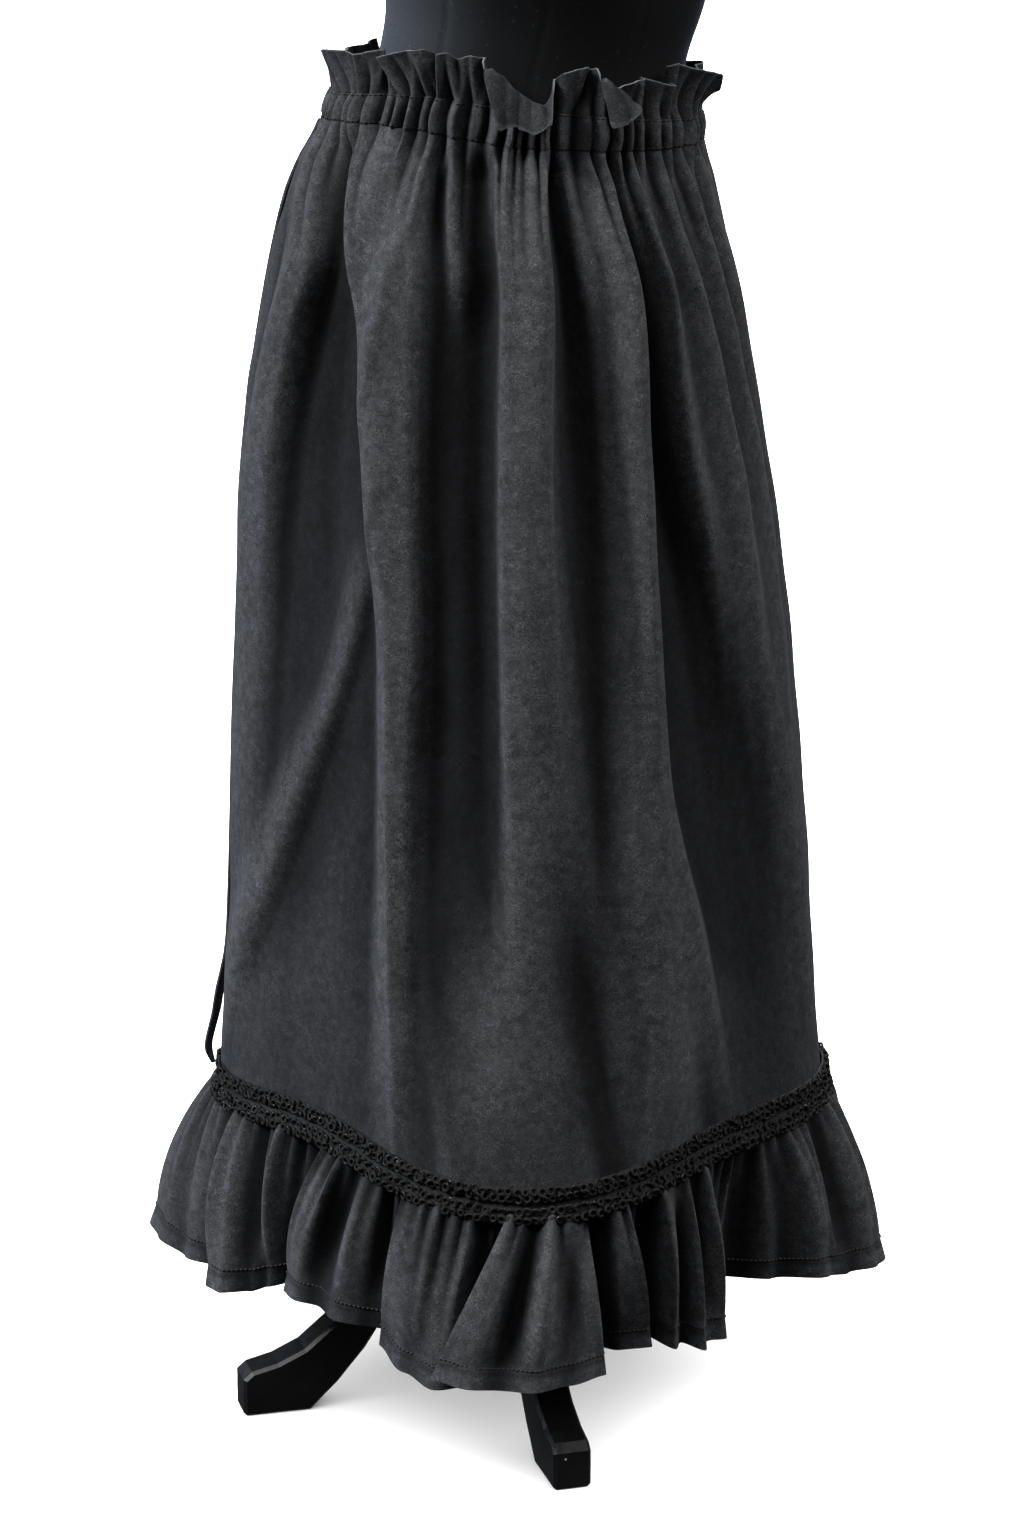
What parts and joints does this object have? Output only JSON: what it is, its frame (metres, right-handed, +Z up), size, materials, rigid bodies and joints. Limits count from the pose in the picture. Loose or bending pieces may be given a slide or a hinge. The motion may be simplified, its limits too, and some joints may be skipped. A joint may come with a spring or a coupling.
{
  "type": "long gathered skirt on dress form",
  "caption": "Long gathered skirt with a frilled elastic waist and a braid-trimmed hem ruffle, on a limbless dress form with a three-legged stand.",
  "frame": {"origin": "on the floor under the middle of the part", "axes": "+Z up, the front of the skirt faces -Y, +X to the right as seen from the front"},
  "size_m": [0.5966, 0.5676, 1.5743],
  "materials": {
    "cloth": "brushed charcoal cotton, matt with a soft nap",
    "braid": "black looped crochet braid with a slight sparkle",
    "form_cover": "matt black jersey over a padded form",
    "painted_wood": "satin black paint on wood, with a few small chips"
  },
  "bodies": {
    "root": {"skirt_front": "cloth", "skirt_back": "cloth", "hem_ruffle_front": "cloth", "hem_ruffle_back": "cloth", "waist_casing_front": "cloth", "waist_casing_back": "cloth", "waist_frill_front": "cloth", "waist_frill_back": "cloth", "tie_end": "cloth", "braid_trim": "braid", "form_torso": "form_cover", "neck_cap": "painted_wood", "stand_pole": "painted_wood", "stand_hub": "painted_wood", "leg_left": "painted_wood", "leg_front": "painted_wood", "leg_back": "painted_wood"}
  },
  "joints": []
}
